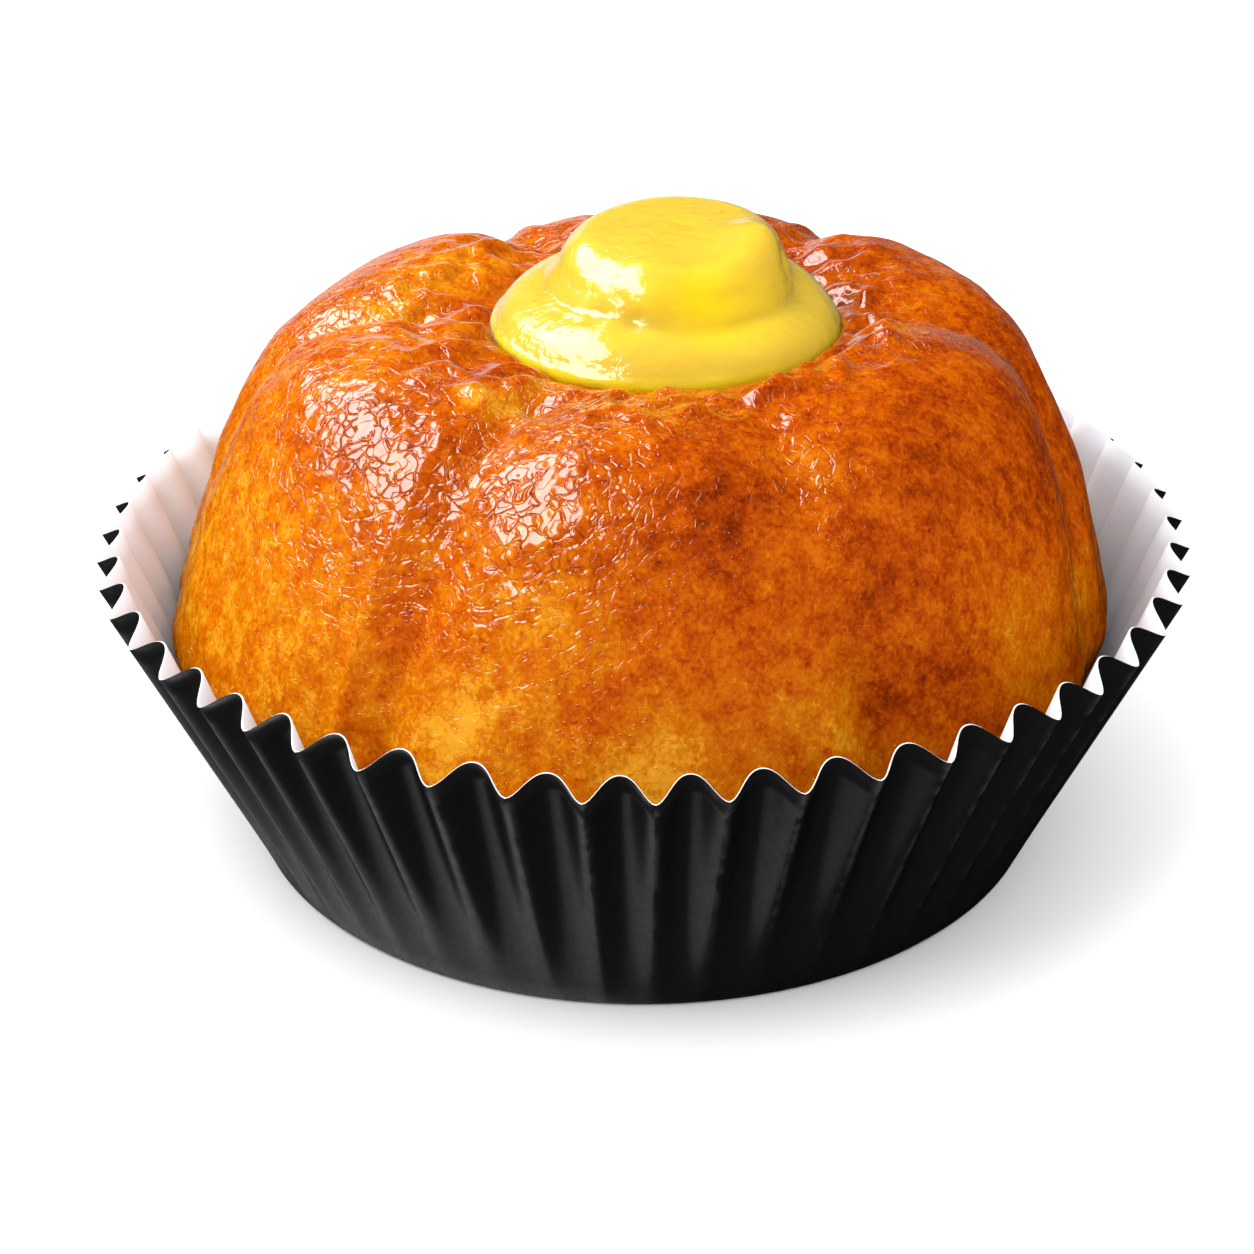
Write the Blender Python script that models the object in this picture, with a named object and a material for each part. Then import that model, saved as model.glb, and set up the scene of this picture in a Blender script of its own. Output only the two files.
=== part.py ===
"""A small fluted lemon cake in a pleated paper case, with a spoonful of lemon curd in the well on top.

Metres, +Z up. The origin is the middle of the case's underside, and -Y is the front.
Azimuths are in degrees round the Z axis from the front, positive towards +X.
"""

import math

import bmesh
import bpy
from mathutils import Vector, noise
from mathutils.geometry import interpolate_bezier

MM = 0.001
GAP = 0.35 * MM  # clearance between one piece and the next

# Paper case: a pleat's outer fold ends lower than its inner fold, because both have the same slant.
PAPER = 0.5 * MM
CASE_BASE_RADIUS = 35.4 * MM
CASE_BASE_CHAMFER = 0.5 * MM
OUTER_FOLD_RADIUS = 48.0 * MM
OUTER_FOLD_HEIGHT = 26.9 * MM
INNER_FOLD_RADIUS = 46.0 * MM
INNER_FOLD_HEIGHT = 28.4 * MM
RIM_RADIUS = (OUTER_FOLD_RADIUS + INNER_FOLD_RADIUS) / 2.0
RIM_HEIGHT = (OUTER_FOLD_HEIGHT + INNER_FOLD_HEIGHT) / 2.0
PLEAT_DEPTH = (OUTER_FOLD_RADIUS - INNER_FOLD_RADIUS) / 2.0
PLEAT_DROP = (INNER_FOLD_HEIGHT - OUTER_FOLD_HEIGHT) / 2.0
PLEATS = 52
POINTS_PER_PLEAT = 6
FIRST_PLEAT_AZIMUTH = 1.0
PLEAT_START = 0.2  # share of the wall's slant below which the pleats fade out
DEPTH_AT_START = 0.15  # share of the rim's pleat depth that is left there
FOLD_SHARPNESS = 0.12  # above 0 the outer folds are narrower than the inner ones
SLOW_DRIFT = 0.7  # degrees by which the pleats bunch on one side
FAST_DRIFT = 0.4

# Cake: outline from the middle of the base, round the flank and over the crown, to the well's floor.
CAKE_OUTLINE = [
    (0.0, 0.9),
    (28.8, 0.9),
    (30.3, 1.0),
    (33.3, 2.4),
    (35.8, 6.0),
    (39.2, 13.5),
    (41.7, 20.0),
    (40.9, 24.0),
    (39.5, 28.8),
    (37.9, 33.6),
    (35.8, 38.4),
    (33.3, 42.6),
    (29.8, 45.9),
    (25.0, 47.8),
    (20.0, 48.2),
    (17.4, 47.2),
    (16.1, 45.9),
    (15.2, 44.6),
    (13.4, 43.0),
    (10.4, 42.2),
    (0.0, 42.0),
]
CAKE_SIDES = 92
CAKE_CUTS = 2
CROWN_RADIUS = 20.0 * MM
CROWN_HEIGHT = 48.2 * MM
WELL_RADIUS = 15.2 * MM
WELL_X = 2.1 * MM
LEAN = 0.052  # how far the flank moves to +X for each metre above the height that stays in place
LEAN_PIVOT = 29.6 * MM
FOOT_HEIGHT = 6.0 * MM  # up to here the cake neither leans nor has relief
FLANK_HEIGHT = 20.0 * MM  # from here up it has both in full

# Each groove runs from its top to its foot: (azimuth, height in mm, depth in mm). Then its width in mm.
GROOVES = [
    ((-38.0, 48.0, 1.7), (-30.5, 25.0, 1.8), 3.0),
    ((20.0, 48.0, 2.2), (14.5, 37.0, 0.0), 2.6),
    ((24.0, 41.0, 0.0), (28.0, 25.0, 2.2), 3.2),
    ((88.0, 48.0, 1.8), (65.0, 26.0, 1.6), 3.2),
    ((144.0, 48.0, 1.9), (132.0, 26.0, 1.5), 3.2),
    ((184.0, 48.0, 1.4), (188.0, 26.0, 1.4), 3.2),
    ((-151.0, 48.0, 2.0), (-136.0, 26.0, 1.5), 3.0),
    ((-78.0, 48.0, 2.0), (-82.0, 26.0, 0.5), 3.0),
]

# Crusty lumps round the well: (azimuth, radius in mm, size in mm, height in mm)
LUMPS = [
    (-42.0, 21.0, 3.2, 1.0),
    (27.0, 19.5, 3.0, 1.2),
    (-167.0, 21.0, 3.0, 0.3),
    (160.0, 20.0, 4.0, 0.7),
    (72.0, 22.0, 4.0, 0.6),
]
UNEVENNESS = 0.35 * MM
UNEVENNESS_SIZE = 11.0 * MM

# Curd: outline of one spoonful from its underside, round the skirt and the fold above it, to its flat top.
CURD_OUTLINE = [
    (0.0, 42.6),
    (9.6, 42.8),
    (12.8, 43.9),
    (14.3, 45.3),
    (14.8, 46.9),
    (14.2, 48.3),
    (12.3, 49.3),
    (10.2, 50.0),
    (9.9, 51.3),
    (9.2, 53.2),
    (7.7, 54.8),
    (5.4, 55.6),
    (0.0, 55.8),
]
CURD_SIDES = 48
CURD_CUTS = 2
DOME_SHIFT = 1.4 * MM  # how far the dome's top stands to +X of the skirt
DOME_FROM = 48.5 * MM
DOME_TO = 56.0 * MM
DOME_TILT = 0.03  # rise of the dome for each metre towards +X

CRUST_COLOUR = (0.62, 0.22, 0.035)
CURD_COLOUR = (0.9, 0.72, 0.07)
PAPER_COLOUR = (0.012, 0.012, 0.013)
LINING_COLOUR = (0.86, 0.83, 0.82)


def clear_scene():
    for obj in list(bpy.data.objects):
        bpy.data.objects.remove(obj)


def ease(value, start, end):
    """0 up to start, 1 from end on, and a smooth step between them."""
    share = min(max((value - start) / (end - start), 0.0), 1.0)
    return share * share * (3.0 - 2.0 * share)


def smooth_line(outline, cuts):
    """The outline in metres with its corners rounded: each stretch is a Bezier curve of that many cuts."""
    points = [Vector((radius, 0.0, height)) * MM for radius, height in outline]
    last = len(points) - 1
    ways = [(points[min(i + 1, last)] - points[max(i - 1, 0)]).normalized() for i in range(last + 1)]
    line = []
    for i in range(last):
        reach = (points[i + 1] - points[i]).length / 3.0
        handles = points[i] + ways[i] * reach, points[i + 1] - ways[i + 1] * reach
        line += interpolate_bezier(points[i], *handles, points[i + 1], cuts + 1)[:-1]
    return line + [points[last]]


def turned(line, sides):
    """A closed surface: the line, which starts and ends on the Z axis, spun round it."""
    mesh = bmesh.new()
    corners = [mesh.verts.new((0.0, -point.x, point.z)) for point in line]
    edges = [mesh.edges.new(pair) for pair in zip(corners, corners[1:])]
    bmesh.ops.spin(
        mesh,
        geom=corners + edges,
        cent=(0.0, 0.0, 0.0),
        axis=(0.0, 0.0, 1.0),
        angle=math.tau,
        steps=sides,
        use_merge=True,
    )
    bmesh.ops.remove_doubles(mesh, verts=mesh.verts, dist=0.001 * MM)
    bmesh.ops.recalc_face_normals(mesh, faces=mesh.faces)
    mesh.normal_update()
    return mesh


def azimuth_of(point):
    return math.degrees(math.atan2(point.x, -point.y))


def placed(radius, azimuth, height):
    angle = math.radians(azimuth)
    return Vector((radius * math.sin(angle), -radius * math.cos(angle), height))


def turn_between(first, second):
    """The shorter way round from the second azimuth to the first, in degrees."""
    return (first - second + 180.0) % 360.0 - 180.0


def material(name, colour, roughness):
    made = bpy.data.materials.new(name)
    made.diffuse_color = (*colour, 1.0)
    made.use_nodes = True
    shader = made.node_tree.nodes["Principled BSDF"]
    shader.inputs["Base Color"].default_value = (*colour, 1.0)
    shader.inputs["Roughness"].default_value = roughness
    shader.inputs["Metallic"].default_value = 0.0
    return made


def add_object(name, mesh, materials):
    data = bpy.data.meshes.new(name)
    mesh.to_mesh(data)
    mesh.free()
    for one in materials:
        data.materials.append(one)
    data.shade_smooth()
    obj = bpy.data.objects.new(name, data)
    bpy.context.scene.collection.objects.link(obj)
    return obj


def pleat_wave(turns):
    """1 on an outer fold and -1 on an inner fold, for a place counted in pleats round the case."""
    angle = math.tau * turns
    return math.cos(angle) + FOLD_SHARPNESS * (math.cos(2.0 * angle) - 1.0)


def pleat_drift(azimuth):
    angle = math.radians(azimuth)
    return SLOW_DRIFT * math.sin(angle) - FAST_DRIFT * math.sin(9.0 * angle)


def case_line():
    """The case's closed section: up the outside to the rim and down the inside, with unpleated walls."""
    foot = Vector((CASE_BASE_RADIUS, 0.0, CASE_BASE_CHAMFER))
    rim = Vector((RIM_RADIUS, 0.0, RIM_HEIGHT))
    waist = foot.lerp(rim, PLEAT_START)
    middle = Vector((0.0, 0.0, 0.0))
    floor_edge = Vector((CASE_BASE_RADIUS - CASE_BASE_CHAMFER, 0.0, 0.0))
    inward = Vector((-PAPER, 0.0, 0.0))
    upward = Vector((0.0, 0.0, PAPER))
    outside = [middle, floor_edge, foot, waist, rim]
    inside = [rim + inward, waist + inward, foot + inward, floor_edge + inward + upward, middle + upward]
    return outside + inside


def pleat_share(height):
    """The pleats' depth at a height, as a share of their depth at the rim."""
    climb = max((height - CASE_BASE_CHAMFER) / (RIM_HEIGHT - CASE_BASE_CHAMFER), 0.0)
    if climb < PLEAT_START:
        return DEPTH_AT_START * climb / PLEAT_START
    return DEPTH_AT_START + (1.0 - DEPTH_AT_START) * (climb - PLEAT_START) / (1.0 - PLEAT_START)


def make_case():
    mesh = turned(case_line(), PLEATS * POINTS_PER_PLEAT)
    for face in mesh.faces:
        face.material_index = 1 if is_lining(face) else 0
    for vert in mesh.verts:
        azimuth = azimuth_of(vert.co)
        wave = pleat_wave(azimuth * PLEATS / 360.0) * pleat_share(vert.co.z)
        radius = math.hypot(vert.co.x, vert.co.y)
        if radius > 0.0:
            turned_to = azimuth + FIRST_PLEAT_AZIMUTH + pleat_drift(azimuth)
            vert.co = placed(radius + PLEAT_DEPTH * wave, turned_to, vert.co.z - PLEAT_DROP * wave)
    outer_paper = material("black_paper", PAPER_COLOUR, 0.55)
    lining = material("white_lining", LINING_COLOUR, 0.7)
    return add_object("paper_case", mesh, [outer_paper, lining])


def is_lining(face):
    """Whether a face of the unpleated case looks up or towards the axis."""
    middle = face.calc_center_median()
    outward = Vector((middle.x, middle.y, 0.0))
    return face.normal.z > 0.0 and face.normal.dot(outward) <= 0.0


def room_in_case(height):
    """The largest radius at a height that stays clear of the case's inner folds."""
    slope = (INNER_FOLD_RADIUS - CASE_BASE_RADIUS) / (INNER_FOLD_HEIGHT - CASE_BASE_CHAMFER)
    return CASE_BASE_RADIUS + slope * (height - CASE_BASE_CHAMFER) - PAPER - GAP


def groove_depth(azimuth, radius, height):
    """How deep all grooves together are at a place on the cake's skin, in metres."""
    total = 0.0
    for (top_azimuth, top, top_depth), (foot_azimuth, foot, foot_depth), width in GROOVES:
        risen = ease(height, foot * MM, top * MM)
        middle = foot_azimuth + turn_between(top_azimuth, foot_azimuth) * risen
        depth = foot_depth + (top_depth - foot_depth) * risen
        away = radius * math.radians(abs(turn_between(azimuth, middle)))
        total += depth * MM * math.exp(-((away / (width * MM)) ** 1.5))
    return total


def lump_height(point):
    total = 0.0
    for azimuth, radius, size, height in LUMPS:
        middle = placed(radius * MM, azimuth, 0.0)
        away = math.hypot(point.x - middle.x, point.y - middle.y)
        total += height * MM * math.exp(-((away / (size * MM)) ** 2))
    return total


def cake_relief(point):
    """How far the skin stands out of the plain turned form: lobes, grooves and lumps."""
    radius = math.hypot(point.x, point.y)
    height = point.z if radius > CROWN_RADIUS else CROWN_HEIGHT
    on_skin = ease(radius, WELL_RADIUS, CROWN_RADIUS) * ease(point.z, FOOT_HEIGHT, FLANK_HEIGHT)
    rough = UNEVENNESS * noise.noise(point / UNEVENNESS_SIZE)
    return on_skin * (lump_height(point) + rough - groove_depth(azimuth_of(point), radius, height))


def cake_shift(point):
    """How far to +X a point goes: the flank leans, and the well above it is off the middle."""
    lean = LEAN * (point.z - LEAN_PIVOT) * ease(point.z, FOOT_HEIGHT, FLANK_HEIGHT)
    if point.z < LEAN_PIVOT:
        return lean
    outside_well = ease(math.hypot(point.x, point.y), WELL_RADIUS, CROWN_RADIUS)
    return WELL_X + (lean - WELL_X) * outside_well


def make_cake():
    mesh = turned(smooth_line(CAKE_OUTLINE, CAKE_CUTS), CAKE_SIDES)
    moved = [vert.co + vert.normal * cake_relief(vert.co) for vert in mesh.verts]
    for vert, place in zip(mesh.verts, moved):
        place.x += cake_shift(place)
        radius = min(math.hypot(place.x, place.y), room_in_case(place.z))
        vert.co = placed(radius, azimuth_of(place), place.z)
    return add_object("cake", mesh, [material("baked_crust", CRUST_COLOUR, 0.35)])


def make_curd():
    mesh = turned(smooth_line(CURD_OUTLINE, CURD_CUTS), CURD_SIDES)
    for vert in mesh.verts:
        on_dome = ease(vert.co.z, DOME_FROM, DOME_TO)
        vert.co.z += DOME_TILT * vert.co.x * on_dome
        vert.co.x += WELL_X + DOME_SHIFT * on_dome
    return add_object("lemon_curd", mesh, [material("lemon_curd", CURD_COLOUR, 0.2)])


clear_scene()
make_case()
make_cake()
make_curd()
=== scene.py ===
"""The looks of a small fluted lemon cake in a pleated paper case, with lemon curd in the well on top.

Metres, +Z up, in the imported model's frame: the origin is the middle of the case's underside, and -Y is the
front. Azimuths are in degrees round the Z axis from the front, positive towards +X.
"""

import math
import random

import bmesh
import bpy
import numpy as np
from bpy.props import FloatProperty, FloatVectorProperty, IntProperty, PointerProperty
from mathutils import Matrix, Vector, noise
from mathutils.geometry import interpolate_bezier


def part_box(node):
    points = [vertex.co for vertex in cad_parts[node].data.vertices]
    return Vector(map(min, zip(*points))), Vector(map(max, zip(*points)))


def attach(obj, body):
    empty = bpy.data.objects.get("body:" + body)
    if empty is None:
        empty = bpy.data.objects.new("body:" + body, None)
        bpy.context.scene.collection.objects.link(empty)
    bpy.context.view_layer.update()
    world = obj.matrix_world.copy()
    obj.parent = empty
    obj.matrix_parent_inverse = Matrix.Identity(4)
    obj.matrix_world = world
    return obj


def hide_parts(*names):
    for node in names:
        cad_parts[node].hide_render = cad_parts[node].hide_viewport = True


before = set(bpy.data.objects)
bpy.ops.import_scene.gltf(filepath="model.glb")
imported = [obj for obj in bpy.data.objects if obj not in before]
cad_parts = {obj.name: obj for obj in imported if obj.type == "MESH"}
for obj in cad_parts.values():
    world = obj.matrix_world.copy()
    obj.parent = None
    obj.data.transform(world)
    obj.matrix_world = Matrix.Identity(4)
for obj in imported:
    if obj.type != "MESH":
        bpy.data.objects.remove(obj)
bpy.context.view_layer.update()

bl_info = {
    "name": "Lemon cake in a paper case",
    "version": (1, 0, 0),
    "blender": (4, 5, 0),
    "location": "View3D > Sidebar > Lemon Cake",
    "description": "Makes a fluted lemon cake with curd on top, its pleated paper case and a stage",
    "category": "Add Mesh",
}

MM = 0.001
MERGE_WITHIN = 0.001 * MM  # closes the seam and the two ends of a turned surface
CLOUD_ROUGHNESS = 0.55  # how strong a cloud's finer detail is

# Paper case: a pleat's outer fold ends lower than its inner fold, because both have the same slant.
CASE_LOW, CASE_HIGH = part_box("paper_case")
CASE_BASE_RADIUS = 35.4 * MM
CASE_BASE_CHAMFER = 0.5 * MM
OUTER_FOLD_RADIUS = (CASE_HIGH.x - CASE_LOW.x) / 2.0
OUTER_FOLD_HEIGHT = 26.9 * MM
INNER_FOLD_RADIUS = 46.0 * MM
INNER_FOLD_HEIGHT = CASE_HIGH.z
RIM_RADIUS = (OUTER_FOLD_RADIUS + INNER_FOLD_RADIUS) / 2.0
RIM_HEIGHT = (OUTER_FOLD_HEIGHT + INNER_FOLD_HEIGHT) / 2.0
PLEAT_DEPTH = (OUTER_FOLD_RADIUS - INNER_FOLD_RADIUS) / 2.0
PLEAT_DROP = (INNER_FOLD_HEIGHT - OUTER_FOLD_HEIGHT) / 2.0
POINTS_PER_PLEAT = 20
WALL_STEPS = 14
PLEAT_SEED = 11
FIRST_PLEAT_AZIMUTH = 1.0
PLEAT_START = 0.2  # share of the wall's slant below which the pleats fade out
DEPTH_AT_START = 0.15  # share of the rim's pleat depth that is left there
FOLD_SHARPNESS = 0.12  # above 0 the outer folds are narrower than the inner ones
CREASE_SHARE = 0.12  # how far the outer folds are pinched to a crease
SLOW_DRIFT = 0.7  # degrees by which the pleats bunch on one side
FAST_DRIFT = 0.4  # degrees by which they bunch in several places round the case
FAST_DRIFT_PLACES = 9.0
PLEAT_UNEVENNESS = 0.10  # share by which one pleat is deeper than another
CREASE_WIDTH = 0.08  # share of a pleat that a worn crease with painted sheen takes
# Paper: its fibres run up the wall. For each side, their size, how far they stand out, and the roughness.
FIBRE_STRETCH = (1.0, 1.0, 0.35)
OUTSIDE_FIBRES, OUTSIDE_GRAIN, OUTSIDE_ROUGHNESS = 0.40 * MM, 0.012 * MM, (0.30, 0.40)
LINING_FIBRES, LINING_GRAIN, LINING_ROUGHNESS = 0.35 * MM, 0.010 * MM, (0.55, 0.65)
LINING_CLOUD_SIZE, LINING_TONES = 6.0 * MM, (0.92, 1.0)
# Where along the outer folds the paler crease shows, as wear and painted sheen.
WEAR_AND_SHEEN_SIZE, WEAR_AND_SHEEN_LEVELS = 1.5 * MM, (0.35, 0.60)

# Room for the cake: the solids' wall is thicker than real paper.
SOLID_PAPER = 0.5 * MM
GAP = 0.35 * MM

# Cake: outline from the middle of the base, round the flank and over the crown, to the well's floor,
# as (radius, height) in mm.
CAKE_OUTLINE = [
    (0.0, 0.9),
    (28.8, 0.9),
    (30.3, 1.0),
    (33.3, 2.4),
    (35.8, 6.0),
    (39.2, 13.5),
    (41.7, 20.0),
    (40.9, 24.0),
    (39.5, 28.8),
    (37.9, 33.6),
    (35.8, 38.4),
    (33.3, 42.6),
    (29.8, 45.9),
    (25.0, 47.8),
    (20.0, 48.2),
    (17.6, 47.7),
    (15.8, 46.8),
    (14.4, 45.8),
    (13.2, 44.4),
    (10.4, 42.6),
    (0.0, 42.0),
]
CAKE_SIDES = 480
CRUST_SPACING = 0.37 * MM  # between one ring of points and the next, where the crust shows
HIDDEN_SPACING = 4.0 * MM  # the same in the case and under the curd
SHOWN_FROM = 13.4 * MM  # above this height and outside this radius the crust shows
SHOWN_OUTSIDE = 10.5 * MM
CROWN_RADIUS = 20.0 * MM
CROWN_HEIGHT = 48.2 * MM
WELL_RADIUS = 15.2 * MM
WELL_X = 2.1 * MM
LEAN = 0.052  # how far the flank moves to +X for each metre above the height that stays in place
LEAN_PIVOT = 29.6 * MM
FOOT_HEIGHT = 6.0 * MM  # up to here the cake neither leans nor has relief
FLANK_HEIGHT = 20.0 * MM  # from here up it has both in full

# Each groove runs from its top to its foot: (azimuth, height in mm, depth in mm). Then its width in mm.
GROOVES = [
    ((-32.0, 48.0, 1.9), (-32.0, 25.0, 1.5), 7.5),
    ((-29.0, 48.0, 0.8), (-31.5, 25.0, 0.9), 2.2),
    ((22.5, 48.0, 1.75), (18.5, 38.0, 0.4), 4.7),
    ((21.0, 41.0, 0.0), (28.5, 24.0, 1.6), 4.5),
    ((21.0, 41.0, 0.0), (29.0, 24.0, 0.9), 1.6),
    ((88.0, 48.0, 1.5), (71.0, 26.0, 1.0), 5.0),
    ((144.0, 48.0, 1.9), (132.0, 26.0, 1.5), 4.5),
    ((184.0, 48.0, 1.4), (188.0, 26.0, 1.4), 3.5),
    ((-151.0, 48.0, 2.0), (-141.0, 26.0, 1.5), 4.5),
    ((-92.0, 48.0, 2.2), (-88.0, 26.0, 0.9), 4.0),
    ((-90.5, 48.0, 0.6), (-88.0, 38.0, 0.2), 1.0),
]
GROOVE_FALL_OFF = 1.5  # 2 makes a round section, and less a sharper one
# Thin ribs of crust beside the grooves, in the same form.
RIBS = [
    ((-37.0, 46.0, 0.20), (-37.8, 24.0, 0.40), 0.8),
    ((26.5, 47.0, 0.10), (22.0, 36.0, 0.20), 1.1),
    ((-85.0, 48.0, 0.50), (-83.0, 38.0, 0.10), 1.4),
    ((93.0, 48.0, 0.20), (76.5, 26.0, 0.25), 2.4),
    ((150.0, 48.0, 0.40), (138.0, 26.0, 0.30), 0.9),
    ((-157.0, 48.0, 0.40), (-147.0, 26.0, 0.30), 0.9),
]
RIB_FALL_OFF = 2.0
# Swellings and hollows of the crust: azimuth, then radius, height, size and rise in mm.
CAKE_SWELLINGS = [
    (-42.0, 21.0, 47.5, 3.2, 0.8),
    (-40.0, 18.3, 47.3, 2.0, 0.8),
    (27.0, 19.5, 47.5, 3.0, 0.8),
    (30.0, 18.8, 48.0, 2.0, 0.9),
    (-167.0, 21.0, 47.0, 3.0, 0.3),
    (-155.0, 23.5, 46.5, 3.4, -1.4),
    (160.0, 20.0, 47.5, 4.0, 0.7),
    (72.0, 22.0, 47.5, 4.0, 0.6),
    (-130.0, 23.0, 48.0, 7.0, 0.5),
    (-100.0, 34.5, 39.0, 9.0, 0.75),
    (131.0, 24.0, 47.3, 5.0, 0.9),
    (112.0, 28.0, 47.0, 8.0, 0.25),
    (99.0, 31.0, 45.0, 9.0, 0.25),
    (25.0, 25.5, 46.6, 1.3, 0.30),
    (27.0, 29.0, 44.6, 1.4, 0.30),
    (25.0, 31.5, 42.6, 1.2, 0.25),
]
RIM_KNOBS = 1.1 * MM  # height of the crusty lumps round the well
RIM_KNOB_SIZE = 2.3 * MM
RIM_PITS = -0.3  # the pits between them, as a share of that height
RIM_KNOBS_BEGIN = 13.4 * MM, 16.5 * MM  # radii between which they rise
RIM_KNOBS_END = 19.0 * MM, 27.0 * MM  # radii between which they fade out
UNEVENNESS = 0.35 * MM
UNEVENNESS_SIZE = 11.0 * MM
DIMPLE_DEPTH = 0.16 * MM
DIMPLE_SIZE = 3.4 * MM
SWIRL_SEED = 1  # without a seed, each run's swirls differ
WRINKLE_SWIRL = 0.3  # how far a wrinkle curls, as a share of a flake's size
WRINKLE_WIDTH = 0.14  # level of the noise up to which it counts as a wrinkle

# Patches of paler and browner crust: azimuth, then radius, height and size in mm, and the browning added.
# Besides bake, some are painted shade in a groove and on the well's inner wall, and some are paler as
# painted highlights where glints fall.
BAKE_AND_PAINTED_LIGHT_PATCHES = [
    (-40.0, 22.4, 48.0, 2.3, -0.40),
    (-33.5, 20.8, 47.2, 2.2, -0.36),
    # Paler spot at the back left of the well: partly paler crust, partly a painted highlight where glints
    # fall.
    (-91.0, 23.0, 47.8, 4.0, -0.30),
    (-62.0, 36.6, 35.9, 9.0, -0.09),
    (-47.0, 39.1, 29.9, 6.0, -0.05),
    (-31.9, 36.3, 33.8, 4.0, 0.08),
    (-23.0, 39.7, 27.0, 4.0, -0.25),
    (-15.0, 36.5, 36.9, 5.0, -0.18),
    (0.6, 40.5, 24.8, 4.0, -0.38),
    (23.0, 39.5, 25.9, 3.0, -0.20),
    (160.0, 38.0, 30.0, 8.0, -0.20),
    (-120.0, 39.0, 28.0, 7.0, -0.25),
    (3.0, 25.5, 47.6, 4.0, -0.08),
    # Browner ring on the left of the well: partly bake, partly painted shade on the well's inner wall.
    (-46.0, 19.0, 47.5, 3.0, 0.25),
    (-62.0, 18.8, 47.7, 3.0, 0.12),
    (-75.0, 14.8, 46.9, 3.5, 0.12),
    (-98.0, 16.5, 46.9, 3.5, 0.20),
    (-20.0, 19.0, 46.4, 3.0, 0.16),
    (-4.0, 21.0, 47.3, 4.0, 0.08),
    (11.0, 23.7, 47.4, 3.0, 0.14),
    (-18.0, 26.2, 46.2, 3.0, -0.16),
    (47.0, 22.9, 48.2, 4.0, -0.12),
    (78.0, 20.9, 48.2, 4.0, -0.14),
    (13.0, 31.0, 44.5, 4.0, 0.12),
    (7.0, 33.0, 42.8, 3.5, 0.12),
    (0.0, 38.3, 32.0, 4.0, 0.06),
    (9.0, 32.8, 43.0, 4.5, 0.14),
    (-50.0, 29.2, 45.7, 6.0, 0.12),
    (-37.7, 25.2, 46.2, 3.5, 0.15),
    (27.0, 33.8, 42.0, 6.0, 0.06),
    # Browner along the lower part of the groove on the right: painted shade in the groove.
    (29.5, 38.5, 28.0, 3.0, 0.30),
    (28.0, 37.5, 33.5, 3.0, 0.20),
    # Paler along the right bank of the groove that faces the softbox: painted highlight where its glints
    # fall, partly paler crust.
    (24.5, 29.0, 45.0, 3.0, -0.30),
    (20.0, 34.0, 40.0, 3.5, -0.12),
    (21.0, 38.4, 29.0, 4.0, -0.12),
    (52.0, 39.0, 30.0, 5.0, -0.22),
    (-21.0, 39.0, 27.5, 3.0, -0.08),
    # Browner beside that groove: painted shade.
    (40.0, 39.5, 28.0, 5.0, 0.24),
    (70.0, 37.0, 38.0, 8.0, 0.10),
    (72.0, 39.1, 26.0, 5.0, -0.15),
    (91.0, 29.0, 45.0, 7.0, 0.05),
    (99.0, 22.7, 47.5, 5.0, -0.12),
    # Paler on the top left of the crown: partly paler crust, partly painted highlight where glints fall.
    (-117.0, 21.0, 48.4, 5.0, -0.22),
    (175.0, 27.0, 46.0, 7.0, 0.18),
    (-120.0, 30.0, 44.0, 7.0, 0.15),
]
# Where the glaze has dried into wrinkled skin, in the form of the patches above.
WRINKLED_PATCHES = [
    (-50.0, 30.5, 44.0, 8.0, 0.85),
    (-16.0, 32.0, 43.0, 8.0, 0.85),
    (-33.0, 31.0, 43.0, 6.0, 0.40),
    (-100.0, 28.0, 46.0, 7.0, 0.55),
    (-22.0, 21.0, 47.5, 5.0, 0.50),
    (-60.0, 37.0, 36.0, 8.0, 0.25),
    (-12.0, 36.0, 37.0, 7.0, 0.20),
    (2.0, 20.5, 47.5, 5.0, 0.45),
    (24.0, 30.0, 44.0, 4.0, 0.60),
    (70.0, 22.0, 47.5, 5.0, 0.40),
    (150.0, 30.0, 44.0, 9.0, 0.70),
    (-150.0, 32.0, 43.0, 8.0, 0.60),
]
WRINKLED_ALL_OVER = 0.12
BROWNING_LOW = 0.38  # on the flank at the paper's rim
BROWNING_HIGH = 0.54  # on the crown
# Browner towards +X: partly bake, partly painted shade on the side away from the softbox.
BROWNING_AND_SHADE_TO_RIGHT = 0.12
BROWNING_RISE = 24.0 * MM, 44.0 * MM

# Patterns in the crust's colour: the size of each, and what it adds to the browning at its two ends.
BLOTCH_SIZE, BLOTCH_TONES = 5.0 * MM, (-0.09, 0.09)
BLOTCH_LEVELS = 0.25, 0.75  # softer than the rest
MOTTLE_SIZE, MOTTLE_TONES = 1.6 * MM, (-0.12, 0.12)
MOTTLE_SWIRL_SIZE, MOTTLE_SWIRL = 2.5 * MM, 0.5 * MM
GRAIN_SIZE, GRAIN_TONES = 0.42 * MM, (-0.09, 0.09)
THREAD_SIZE, THREAD_TONES = 0.75 * MM, (-0.14, 0.02)
VEIN_SIZE, VEIN_TONES = 1.2 * MM, (0.10, -0.01)
SPECK_SIZE, SPECK_TONES = 0.8 * MM, (0.0, 0.16)
SPECK_LEVELS = 0.68, 0.78  # only the peaks of the noise are specks
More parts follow.
